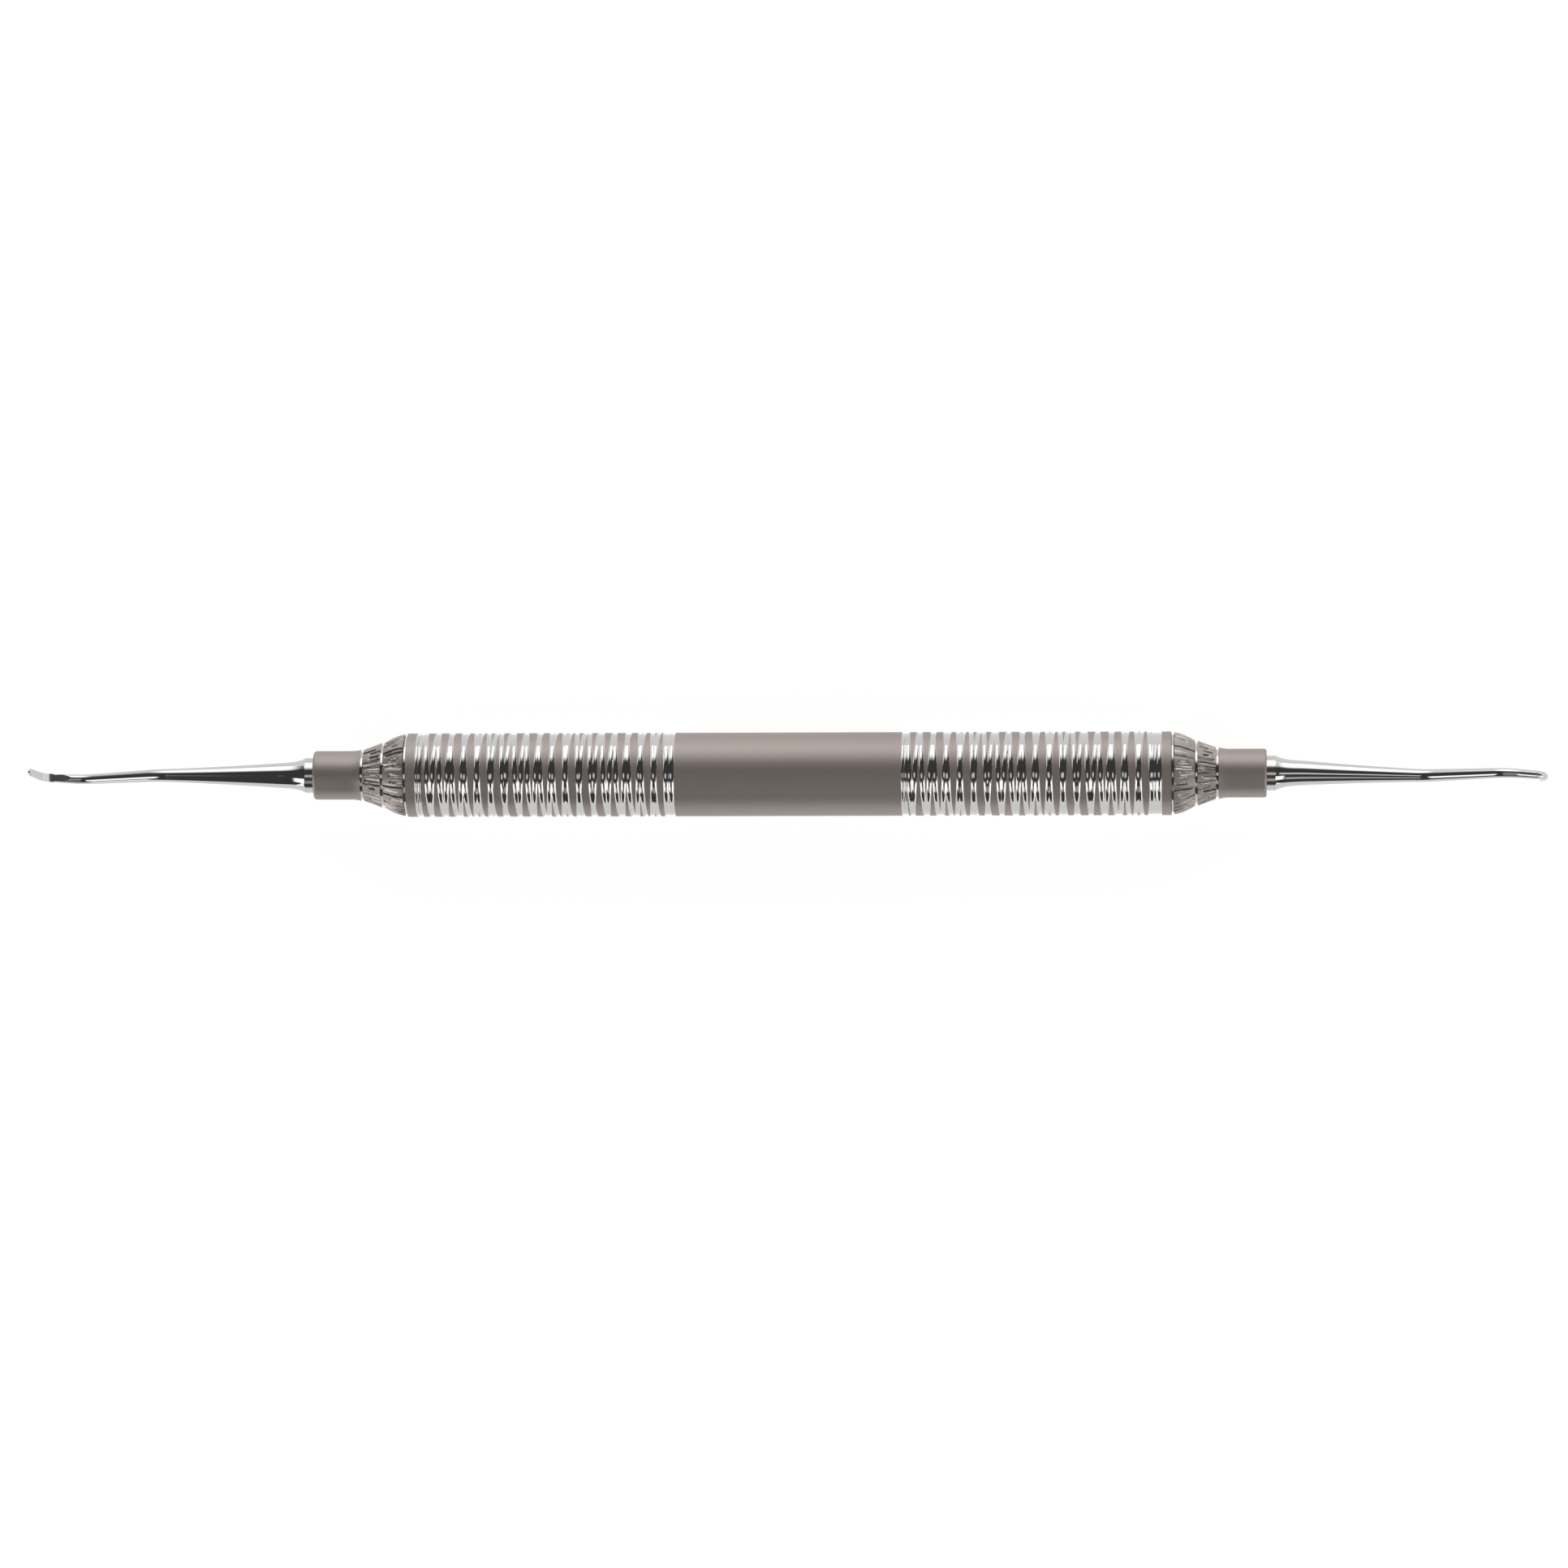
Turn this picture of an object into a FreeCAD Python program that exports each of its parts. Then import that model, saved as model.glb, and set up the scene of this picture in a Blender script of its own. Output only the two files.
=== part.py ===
import FreeCAD, Part
import math
import os
import Sketcher

VECTOR = FreeCAD.Vector
X_AXIS = VECTOR(1, 0, 0)
Y_AXIS = VECTOR(0, 1, 0)
Z_AXIS = VECTOR(0, 0, 1)

# Driving dimensions, in millimetres and degrees.
SIZES = {
    # Hollow handle
    "handle_diameter": 9.5,
    "wall": 1.0,
    "band_length": 25.75,
    "grip_length": 29.47,
    "land_length": 1.06,
    "left_relief_width": 0.75,
    "right_relief_width": 1.15,
    "relief_depth": 0.17,
    # Ferrules
    "spigot_length": 7,
    "fit_clearance": 0.02,
    "ring_width": 0.32,
    "ring_depth": 0.22,
    "shoulder_step": 0.09,
    "large_cone_length": 2.36,
    "large_cone_break": 1.35,
    "large_cone_break_diameter": 8.64,
    "cone_joint_diameter": 7.38,
    "small_cone_length": 2.05,
    "small_cone_end_diameter": 5.86,
    "large_cone_teeth": 44,
    "small_cone_teeth": 38,
    "tooth_depth": 0.13,
    "collar_mouth_diameter": 5.84,
    "collar_flare_length": 1.2,
    "collar_diameter": 5.54,
    "collar_length": 5.42,
    "collar_edge": 0.3,
    # Working ends
    "tang_diameter": 2.5,
    "tang_length": 5,
    "tang_bore_spare": 0.3,
    "base_diameter": 4,
    "base_length": 1,
    "flare_length": 3,
    "flare_break": 1.2,
    "flare_break_diameter": 3.28,
    "neck_diameter": 2.85,
    "taper_length": 12.8,
    "taper_seat": 0.2,
    "bend_diameter": 1.5,
    "first_bend_radius": 6,
    "first_bend_angle": 22,
    "middle_length": 7.1,
    "second_bend_radius": 4,
    "terminal_angle": 20,
    "terminal_length": 1.9,
    "terminal_diameter": 0.98,
    "blade_curve_length": 2.2,
    "blade_point_length": 1.3,
    "toe_diameter": 0.84,
    "face_depth": 0.1,
    # How each end is bent and turned about its own axis
    "left_lean_angle": -0.2,
    "left_roll_angle": 187.6,
    "left_blade_bend_angle": 43,
    "left_blade_turn_angle": 11,
    "right_lean_angle": 1.4,
    "right_roll_angle": -8.4,
    "right_blade_bend_angle": 80,
    "right_blade_turn_angle": 1,
}

# Places along the handle, from its middle.
BAND_END = "Sizes.band_length / 2"
GRIP_END = f"{BAND_END} + Sizes.grip_length"
TUBE_END = f"{GRIP_END} + Sizes.land_length"

# Places along a ferrule, from its shoulder outwards.
LARGE_CONE_START = "Sizes.ring_width"
LARGE_CONE_END = f"{LARGE_CONE_START} + Sizes.large_cone_length"
SMALL_CONE_START = f"{LARGE_CONE_END} + Sizes.ring_width"
SMALL_CONE_END = f"{SMALL_CONE_START} + Sizes.small_cone_length"
COLLAR_START = f"{SMALL_CONE_END} + Sizes.ring_width"
COLLAR_END = f"{COLLAR_START} + Sizes.collar_length"

# Radii shared by pieces that fit each other.
HANDLE_RADIUS = "Sizes.handle_diameter / 2"
TUBE_BORE_RADIUS = f"{HANDLE_RADIUS} - Sizes.wall"
SHOULDER_RADIUS = f"{HANDLE_RADIUS} - Sizes.shoulder_step"
TANG_RADIUS = "Sizes.tang_diameter / 2"

# Places along a working end, from the collar's end face outwards.
FLARE_END = "Sizes.base_length + Sizes.flare_length"


def make_sheet(doc):
    """The spreadsheet of driving dimensions, one cell with an alias for each."""
    sheet = doc.addObject("Spreadsheet::Sheet", "Sizes")
    for row, (alias, value) in enumerate(SIZES.items(), start=1):
        sheet.set(f"A{row}", alias)
        sheet.set(f"B{row}", str(value))
        sheet.setAlias(f"B{row}", alias)
    doc.recompute()
    return sheet


def value_of(sheet, expression):
    """The number that an expression over the sheet's cells gives."""
    result = sheet.evalExpression(expression)
    return float(getattr(result, "Value", result))


def origin_feature(body, role):
    """The body's own origin plane or axis that has this role."""
    return next(item for item in body.Origin.OriginFeatures if item.Role == role)


def new_sketch(body, name, role, offset=None):
    """A sketch on one of the body's origin planes, moved by an offset in that plane's axes."""
    sketch = body.newObject("Sketcher::SketchObject", name)
    sketch.AttachmentSupport = (origin_feature(body, role), "")
    sketch.MapMode = "FlatFace"
    if offset is not None:
        sketch.AttachmentOffset = offset
    return sketch


def pin(sketch, sheet, geometry, end, place):
    """Hold one end of an edge at a pair of expressions, measured from the sketch's origin."""
    for kind, axis, expression in (("DistanceX", -2, place[0]), ("DistanceY", -1, place[1])):
        if expression == "0":
            sketch.addConstraint(Sketcher.Constraint("PointOnObject", geometry, end, axis))
            continue
        distance = Sketcher.Constraint(kind, -1, 1, geometry, end, value_of(sheet, expression))
        index = sketch.addConstraint(distance)
        sketch.setExpression(f"Constraints[{index}]", expression)


def arc_through(start, finish, radius, side):
    """The short arc between two points that bulges to the left (side 1) or right (side -1)."""
    chord = finish - start
    rise = radius - math.sqrt(radius**2 - (chord.Length / 2) ** 2)
    left = VECTOR(-chord.y, chord.x, 0).normalize()
    return Part.Arc(start, (start + finish) * 0.5 + left * (side * rise), finish)


def draw(sketch, sheet, places, arcs=None, closed=True):
    """Join places (pairs of expressions) by straight edges, and by arcs where arcs names the edge."""
    arcs = arcs or {}
    points = [VECTOR(value_of(sheet, x), value_of(sheet, y), 0) for x, y in places]
    edges = len(points) if closed else len(points) - 1
    ends = []
    for edge in range(edges):
        start, finish = points[edge], points[(edge + 1) % len(points)]
        if edge not in arcs:
            sketch.addGeometry(Part.LineSegment(start, finish))
            ends.append((1, 2))
            continue
        radius, side = arcs[edge]
        sketch.addGeometry(arc_through(start, finish, value_of(sheet, radius), side))
        index = sketch.addConstraint(Sketcher.Constraint("Radius", edge, value_of(sheet, radius)))
        sketch.setExpression(f"Constraints[{index}]", radius)
        # A sketch arc runs anticlockwise, so one that bulges to the left is stored backwards.
        ends.append((2, 1) if side > 0 else (1, 2))
    for edge in range(edges):
        pin(sketch, sheet, edge, ends[edge][0], places[edge])
        if closed or edge + 1 < edges:
            following = (edge + 1) % edges
            joint = Sketcher.Constraint("Coincident", edge, ends[edge][1], following, ends[following][0])
            sketch.addConstraint(joint)
    if not closed:
        pin(sketch, sheet, edges - 1, ends[-1][1], places[-1])


def draw_circle(sketch, sheet, diameter):
    """A circle round the sketch's origin."""
    sketch.addGeometry(Part.Circle(VECTOR(), Z_AXIS, value_of(sheet, diameter) / 2))
    sketch.addConstraint(Sketcher.Constraint("Coincident", 0, 3, -1, 1))
    index = sketch.addConstraint(Sketcher.Constraint("Diameter", 0, value_of(sheet, diameter)))
    sketch.setExpression(f"Constraints[{index}]", diameter)


def revolve(body, name, sketch):
    """A full turn of the sketch about its own horizontal axis."""
    turned = body.newObject("PartDesign::Revolution", name)
    turned.Profile = sketch
    turned.ReferenceAxis = (sketch, ["H_Axis"])
    turned.Angle = 360
    return turned


def make_handle_tube(doc, sheet):
    """The hollow turned handle: a smooth band between two grips, each between two relief rings."""
    body = doc.addObject("PartDesign::Body", "handle_tube")
    relief_radius = f"{HANDLE_RADIUS} - Sizes.relief_depth"
    places = [(f"-({TUBE_END})", TUBE_BORE_RADIUS), (f"-({TUBE_END})", HANDLE_RADIUS)]
    for start, end in ((f"-({GRIP_END})", f"-({BAND_END})"), (BAND_END, GRIP_END)):
        places += [
            (start, HANDLE_RADIUS),
            (start, relief_radius),
            (f"{start} + Sizes.left_relief_width", relief_radius),
            (f"{start} + Sizes.left_relief_width", HANDLE_RADIUS),
            (f"{end} - Sizes.right_relief_width", HANDLE_RADIUS),
            (f"{end} - Sizes.right_relief_width", relief_radius),
            (end, relief_radius),
            (end, HANDLE_RADIUS),
        ]
    places += [(TUBE_END, HANDLE_RADIUS), (TUBE_END, TUBE_BORE_RADIUS)]
    profile = new_sketch(body, "tube_profile", "XZ_Plane")
    draw(profile, sheet, places)
    revolve(body, "tube_blank", profile)
    return body


def toothed_outline(sheet, teeth, place, radius):
    """A closed outline of teeth round the axis, pointed at the radius and one tooth depth deep."""
    across = value_of(sheet, place)
    crest = value_of(sheet, radius)
    root = crest - value_of(sheet, "Sizes.tooth_depth")
    points = []
    for corner in range(2 * teeth):
        angle = math.pi * corner / teeth
        reach = crest if corner % 2 == 0 else root
        points.append(VECTOR(across, reach * math.cos(angle), reach * math.sin(angle)))
    return Part.makePolygon(points + points[:1])


def make_knurl(doc, sheet, name):
    """The two toothed cones of a ferrule, on the neck that joins them."""
    large_cone = [
        (LARGE_CONE_START, SHOULDER_RADIUS),
        (f"{LARGE_CONE_START} + Sizes.large_cone_break", "Sizes.large_cone_break_diameter / 2"),
        (LARGE_CONE_END, "Sizes.cone_joint_diameter / 2"),
    ]
    small_cone = [
        (SMALL_CONE_START, "Sizes.cone_joint_diameter / 2"),
        (SMALL_CONE_END, "Sizes.small_cone_end_diameter / 2"),
    ]
    cones = []
    for count, stations in (("large_cone_teeth", large_cone), ("small_cone_teeth", small_cone)):
        teeth = int(value_of(sheet, f"Sizes.{count}"))
        outlines = [toothed_outline(sheet, teeth, place, radius) for place, radius in stations]
        cones.append(Part.makeLoft(outlines, True, True))
    neck_radius = value_of(sheet, "Sizes.small_cone_end_diameter / 2 - Sizes.ring_depth")
    neck_start = value_of(sheet, LARGE_CONE_START)
    neck_length = value_of(sheet, SMALL_CONE_END) - neck_start
    neck = Part.makeCylinder(neck_radius, neck_length, VECTOR(neck_start, 0, 0), X_AXIS)
    knurl = doc.addObject("Part::Feature", name)
    knurl.Shape = neck.fuse(cones)
    return knurl


def make_ferrule(doc, sheet, name):
    """A turned end piece: spigot, three ring grooves, two knurled cones and a bored collar."""
    body = doc.addObject("PartDesign::Body", name)
    body.BaseFeature = make_knurl(doc, sheet, f"{name}_knurl")
    bore_radius = f"{TANG_RADIUS} + Sizes.fit_clearance"
    bore_floor = f"{COLLAR_END} - Sizes.tang_length - Sizes.tang_bore_spare"
    spigot_radius = f"{TUBE_BORE_RADIUS} - Sizes.fit_clearance"
    inner_ring_radius = f"{SHOULDER_RADIUS} - Sizes.ring_depth"
    middle_ring_radius = "Sizes.cone_joint_diameter / 2 - Sizes.ring_depth"
    outer_ring_radius = "Sizes.small_cone_end_diameter / 2 - Sizes.ring_depth"
    collar_radius = "Sizes.collar_diameter / 2"
    profile = new_sketch(body, f"{name}_profile", "XZ_Plane")
    places = [
        ("-Sizes.spigot_length", "0"),
        (bore_floor, "0"),
        (bore_floor, bore_radius),
        (COLLAR_END, bore_radius),
        (COLLAR_END, f"{collar_radius} - Sizes.collar_edge"),
        (f"{COLLAR_END} - Sizes.collar_edge", collar_radius),
        (f"{COLLAR_START} + Sizes.collar_flare_length", collar_radius),
        (COLLAR_START, "Sizes.collar_mouth_diameter / 2"),
        (COLLAR_START, outer_ring_radius),
        (SMALL_CONE_START, outer_ring_radius),
        (SMALL_CONE_START, middle_ring_radius),
        (LARGE_CONE_START, middle_ring_radius),
        (LARGE_CONE_START, inner_ring_radius),
        ("0", inner_ring_radius),
        ("0", spigot_radius),
        ("-Sizes.spigot_length", spigot_radius),
    ]
    draw(profile, sheet, places)
    revolve(body, f"{name}_turned", profile)
    return body


def along(start, length, heading):
    """The place a length away from start at a heading, as expressions."""
    return (f"{start[0]} + {length} * cos({heading})", f"{start[1]} + {length} * sin({heading})")


def path_frame(point, heading):
    """A frame at a point of the bent shank's plane whose X axis points along the heading."""
    return FreeCAD.Placement(VECTOR(point[0], 0, point[1]), FreeCAD.Rotation(Y_AXIS, -heading))


def plane_sketch(body, name, frame):
    """A sketch in the frame's XZ plane."""
    upright = FreeCAD.Placement(VECTOR(), FreeCAD.Rotation(X_AXIS, 90))
    return new_sketch(body, name, "XY_Plane", frame * upright)


def section_sketch(body, name, frame):
    """A sketch across the frame's X axis."""
    crosswise = FreeCAD.Placement(VECTOR(), FreeCAD.Rotation(Y_AXIS, 90))
    return new_sketch(body, name, "XY_Plane", frame * crosswise)


def sweep(body, name, spine, sections):
    """A pipe along the spine that changes evenly from its first section to its last."""
    pipe = body.newObject("PartDesign::AdditivePipe", name)
    pipe.Profile = sections[0]
    pipe.Spine = spine
    pipe.Sections = sections[1:]
    pipe.Transformation = "Multisection"
    return pipe


def make_working_end(doc, sheet, name, side):
    """A tang, a tapered shank with two bends, and a hooked blade turned out of the shank's plane."""
    body = doc.addObject("PartDesign::Body", name)
    base_radius = "Sizes.base_diameter / 2"
    profile = new_sketch(body, f"{name}_profile", "XZ_Plane")
    places = [
        ("-Sizes.tang_length", "0"),
        ("-Sizes.tang_length", TANG_RADIUS),
        ("0", TANG_RADIUS),
        ("0", base_radius),
        ("Sizes.base_length", base_radius),
        ("Sizes.base_length + Sizes.flare_break", "Sizes.flare_break_diameter / 2"),
        (FLARE_END, "Sizes.neck_diameter / 2"),
        (FLARE_END, "0"),
    ]
    draw(profile, sheet, places)
    revolve(body, f"{name}_turned", profile)

    # The taper starts inside the flare and leans a little to one side, and the bends follow its direction.
    lean = FreeCAD.Rotation(Z_AXIS, -value_of(sheet, f"Sizes.{side}_lean_angle"))
    lean_frame = FreeCAD.Placement(VECTOR(value_of(sheet, FLARE_END), 0, 0), lean)
    bend_frame = lean_frame * path_frame((value_of(sheet, "Sizes.taper_length"), 0), 0)
    taper_spine = plane_sketch(body, f"{name}_taper_spine", lean_frame)
    draw(taper_spine, sheet, [("-Sizes.taper_seat", "0"), ("Sizes.taper_length", "0")], closed=False)
    taper_frame = lean_frame * path_frame((-value_of(sheet, "Sizes.taper_seat"), 0), 0)
    taper_root = section_sketch(body, f"{name}_taper_root", taper_frame)
    draw_circle(taper_root, sheet, "Sizes.neck_diameter")
    shank_root = section_sketch(body, f"{name}_shank_root", bend_frame)
    draw_circle(shank_root, sheet, "Sizes.bend_diameter")
    sweep(body, f"{name}_taper", taper_spine, [taper_root, shank_root])

    rise, fall = "Sizes.first_bend_angle", "Sizes.terminal_angle"
    first, second = "Sizes.first_bend_radius", "Sizes.second_bend_radius"
    bend_end = (f"{first} * sin({rise})", f"{first} * (1 - cos({rise}))")
    crest_start = along(bend_end, "Sizes.middle_length", rise)
    crest_end = (
        f"{crest_start[0]} + {second} * (sin({rise}) + sin({fall}))",
        f"{crest_start[1]} + {second} * (cos({fall}) - cos({rise}))",
    )
    blade_start = along(crest_end, "Sizes.terminal_length", f"-{fall}")
    spine = plane_sketch(body, f"{name}_spine", bend_frame)
    route = [("0", "0"), bend_end, crest_start, crest_end, blade_start]
    draw(spine, sheet, route, arcs={0: (first, -1), 2: (second, 1)}, closed=False)

    blade_point = [value_of(sheet, place) for place in blade_start]
    blade_frame = bend_frame * path_frame(blade_point, -value_of(sheet, fall))
    shank_end = section_sketch(body, f"{name}_shank_end", blade_frame)
    draw_circle(shank_end, sheet, "Sizes.terminal_diameter")
    sweep(body, f"{name}_bent_shank", spine, [shank_root, shank_end])

    turn = FreeCAD.Rotation(X_AXIS, value_of(sheet, f"Sizes.{side}_blade_turn_angle"))
    turned_frame = blade_frame * FreeCAD.Placement(VECTOR(), turn)
    make_blade(body, sheet, name, f"Sizes.{side}_blade_bend_angle", turned_frame)
    return body


def make_blade(body, sheet, name, bend, frame):
    """The hooked blade: a bent round bar with a ball toe, its inner side ground to a flat face."""
    radius = f"Sizes.blade_curve_length * 180 / (pi * {bend})"
    heel = ("0", "0")
    hook = (f"{radius} * sin({bend})", f"-{radius} * (1 - cos({bend}))")
    toe = along(hook, "Sizes.blade_point_length", f"-{bend}")
    spine = plane_sketch(body, f"{name}_blade_spine", frame)
    draw(spine, sheet, [heel, hook, toe], arcs={0: (radius, 1)}, closed=False)

    toe_point = [value_of(sheet, place) for place in toe]
    toe_frame = frame * path_frame(toe_point, -value_of(sheet, bend))
    blade_root = section_sketch(body, f"{name}_blade_root", frame)
    draw_circle(blade_root, sheet, "Sizes.terminal_diameter")
    blade_end = section_sketch(body, f"{name}_blade_end", toe_frame)
    draw_circle(blade_end, sheet, "Sizes.toe_diameter")
    sweep(body, f"{name}_blade", spine, [blade_root, blade_end])

    ball = body.newObject("PartDesign::AdditiveSphere", f"{name}_toe")
    ball.AttachmentSupport = (origin_feature(body, "XY_Plane"), "")
    ball.MapMode = "FlatFace"
    ball.AttachmentOffset = toe_frame
    ball.setExpression("Radius", "Sizes.toe_diameter / 2")

    depth, reach = "Sizes.face_depth", "Sizes.terminal_diameter"
    inner = f"-{bend} - 90"
    face_end = along(along(toe, reach, f"-{bend}"), depth, inner)
    places = [
        ("0", f"-{depth}"),
        along(hook, depth, inner),
        face_end,
        along(face_end, reach, inner),
        ("0", f"-{depth} - {reach}"),
    ]
    outline = plane_sketch(body, f"{name}_face_outline", frame)
    draw(outline, sheet, places, arcs={0: (f"{radius} - {depth}", 1)})
    face = body.newObject("PartDesign::Pocket", f"{name}_face")
    face.Profile = outline
    face.Type = "Length"
    face.Midplane = True
    face.setExpression("Length", "2 * Sizes.terminal_diameter")


def place_end(body, place, rotation):
    """Stand a piece at a place along the handle, which stays bound to the sheet."""
    body.Placement = FreeCAD.Placement(VECTOR(), rotation)
    body.setExpression("Placement.Base.x", place)


def check(item):
    """Stop if an object failed, or if its shape is empty or not valid."""
    if "Invalid" in item.State or "Error" in item.State:
        raise RuntimeError(f"{item.Name} failed: {item.State}")
    if hasattr(item, "Shape") and (item.Shape.isNull() or not item.Shape.isValid()):
        raise RuntimeError(f"{item.Name} has no valid shape")


def main():
    doc = FreeCAD.newDocument("dental_scaler")
    sheet = make_sheet(doc)
    half_turn = FreeCAD.Rotation(Z_AXIS, 180)
    collar_place = f"{TUBE_END} + {COLLAR_END}"

    nodes = [make_handle_tube(doc, sheet)]

    right_ferrule = make_ferrule(doc, sheet, "ferrule_right")
    place_end(right_ferrule, TUBE_END, FreeCAD.Rotation())
    left_ferrule = make_ferrule(doc, sheet, "ferrule_left")
    place_end(left_ferrule, f"-({TUBE_END})", half_turn)
    nodes += [right_ferrule, left_ferrule]

    # The right end rises from the handle before it hooks down, and the left one dips and hooks up.
    right_end = make_working_end(doc, sheet, "working_end_right", "right")
    right_roll = FreeCAD.Rotation(X_AXIS, value_of(sheet, "Sizes.right_roll_angle"))
    place_end(right_end, collar_place, right_roll)
    left_end = make_working_end(doc, sheet, "working_end_left", "left")
    left_roll = FreeCAD.Rotation(X_AXIS, value_of(sheet, "Sizes.left_roll_angle"))
    place_end(left_end, f"-({collar_place})", half_turn * left_roll)
    nodes += [right_end, left_end]

    doc.recompute()
    for item in doc.Objects:
        if not item.isDerivedFrom("App::OriginFeature"):
            check(item)

    os.makedirs("parts", exist_ok=True)
    for body in nodes:
        body.Label = body.Name
        body.Shape.exportStep(f"parts/{body.Label}.step")
        print(body.Label, "volume", round(body.Shape.Volume, 2), "box", body.Shape.BoundBox)


main()
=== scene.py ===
import bpy
import math
import random
from mathutils import Matrix, Vector


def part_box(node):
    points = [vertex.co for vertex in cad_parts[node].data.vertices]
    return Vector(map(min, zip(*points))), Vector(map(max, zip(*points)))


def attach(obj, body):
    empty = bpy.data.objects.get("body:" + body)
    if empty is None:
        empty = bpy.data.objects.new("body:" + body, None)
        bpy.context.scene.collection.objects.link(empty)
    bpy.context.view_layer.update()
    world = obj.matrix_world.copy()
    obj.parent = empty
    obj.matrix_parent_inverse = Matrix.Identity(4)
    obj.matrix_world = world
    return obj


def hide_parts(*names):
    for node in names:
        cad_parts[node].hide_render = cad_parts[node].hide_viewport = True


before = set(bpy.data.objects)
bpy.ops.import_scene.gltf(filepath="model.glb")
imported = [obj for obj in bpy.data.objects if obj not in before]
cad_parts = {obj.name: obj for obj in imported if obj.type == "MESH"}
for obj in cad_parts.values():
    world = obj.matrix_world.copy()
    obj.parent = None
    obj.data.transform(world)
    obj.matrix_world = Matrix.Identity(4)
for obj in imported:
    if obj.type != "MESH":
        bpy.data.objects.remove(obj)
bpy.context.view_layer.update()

MM = 0.001
TURN = 2 * math.pi
SMOOTH_ANGLE = math.radians(30)
# A turned outline starts and ends this close to the axis.
AXIS_RADIUS = 0.02

# Places of the finishes in a piece's list of materials.
SATIN, POLISHED = 0, 1
MIRROR, DULL = 0, 1

# Handle, in millimetres from its middle.
TUBE_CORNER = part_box("handle_tube")[1]
RADIUS = TUBE_CORNER[2] / MM
TUBE_END = TUBE_CORNER[0] / MM
WALL = 1.0
BAND_HALF = 25.75 / 2
GRIP_LENGTH = 29.47
GRIP_END = BAND_HALF + GRIP_LENGTH
AROUND_GRIP = 144
GRIP_STEP = 0.05

# The two crossed helical grooves of a grip: round-bottomed, one right-handed and one left-handed.
GROOVE_WIDTH = 0.55
GROOVE_DEPTH = 0.12
# Pitch and place of each groove at the top line of the handle.
GROOVES = {
    "left": [(1.433, -40.93), (-1.677, -40.29)],
    "right": [(1.441, 13.83), (-1.683, 14.47)],
}
# Plain turned rings at the left and right end of a grip: their widths, and the cuts that share each.
END_RINGS = (0.75, 1.15)
RING_SHARES = (0.5, 0.5)
OUTER_RIGHT_SHARES = (0.27, 0.27, 0.46)
RING_DEPTH = 0.16
RING_OVERLAP = 1.12
# Distances and depths under these count as none.
TOUCH = 1e-6
SHALLOWEST = 1e-5

# Ferrule, in millimetres outwards from its shoulder.
SPIGOT_LENGTH = 7.0
FIT = 0.02
SHOULDER_STEP = 0.09
LARGE_CONE_LENGTH = 2.36
LARGE_CONE_BULGE = 0.15
LARGE_CONE_CHAMFER = (0.03, 0.06)
SMALL_CONE_LENGTH = 2.05
CONE_JOINT_RADIUS = 3.69
SMALL_CONE_END_RADIUS = 2.93
COLLAR_MOUTH_RADIUS = 2.92
COLLAR_RADIUS = 2.77
COLLAR_FLARE = 1.2
COLLAR_EDGE = 0.3
COLLAR_LENGTH = 5.42
TANG_RADIUS = 1.25
TANG_LENGTH = 5.0
TANG_SPARE = 0.3
AROUND_FERRULE = 480
LARGE_CONE_STEPS = 26
SMALL_CONE_STEPS = 22
FLARE_STEPS = 8
EDGE_STEPS = 6

# Ring grooves of a ferrule: width, depth, and how their floor's corners are broken.
RING_WIDTH = 0.32
RING_GROOVE = 0.22
FLOOR_INSET = 0.22 * RING_WIDTH
FLOOR_BREAK = 0.4 * FLOOR_INSET
FLOOR_RISE = 0.05
SEAT_STEP = 0.02
JOINT_RING_STEP = 0.05
COLLAR_RING_STEP = 0.04

# Knurl: how many cuts each cone has, and how far a cut strays, leans, waves and spreads, as shares of
# the room between two cuts.
LARGE_CONE_TEETH = 44
SMALL_CONE_TEETH = 38
CUT_STRAY = 0.18
CUT_LEAN = 0.15
CUT_WAVE = (0.02, 0.07)
CUT_HALF = (0.28, 0.4)
# Depths of the cuts in millimetres, how round they are (1 is a V), and the depth that shows as a cut.
CUT_DEPTH = (0.1, 0.17)
CUT_ROUNDNESS = 1.5
CUT_SHOWS = 0.02
# Where along its cone a cut may start and end; most cuts run right through, and a few are faint.
CUT_STARTS = (0.0, 0.0, 0.0, 0.1, 0.3)
CUT_ENDS = (1.0, 1.0, 1.0, 0.85, 0.6)
CUT_FADE = 0.08
FAINT_CHANCE = 0.08
FAINT_DEPTH = 0.25

# Working ends, in millimetres outwards from the collar's end face; bends are (radius, degrees).
BASE_RADIUS = 2.0
BASE_LENGTH = 1.0
BASE_CHAMFER = 0.05
FLARE_END = 4.0
FLARE_POWER = 3.5
NECK_RADIUS = 1.425
BEND_START = 16.8
BEND_RADIUS = 0.75
TAPER_HOLLOW = 0.05
FIRST_BEND = (6.0, 22.0)
MIDDLE_LENGTH = 7.1
SECOND_BEND = (4.0, 42.0)
TERMINAL_LENGTH = 1.9
TERMINAL_RADIUS = 0.49
BLADE_CURVE = 2.2
BLADE_POINT = 1.3
TOE_RADIUS = 0.42
TOE_STEPS = 14
FACE_DEPTH = 0.1
# The left terminal is ground to a facet, at its full depth a third of the way along.
LEFT_FACET = 0.36
FACET_RUN_IN = 3
AROUND_SHANK = 96
FACE_POINTS = AROUND_SHANK // 3
ROUND_POINTS = AROUND_SHANK - FACE_POINTS
SHANK_STEP = 0.1
# How each end is bent and turned about its own axis, in degrees.
ENDS = {
    "right": {"lean": 1.4, "roll": -8.4, "blade": 80.0, "turn": 1.0},
    "left": {"lean": -0.2, "roll": 187.6, "blade": 43.0, "turn": 11.0},
}

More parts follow.
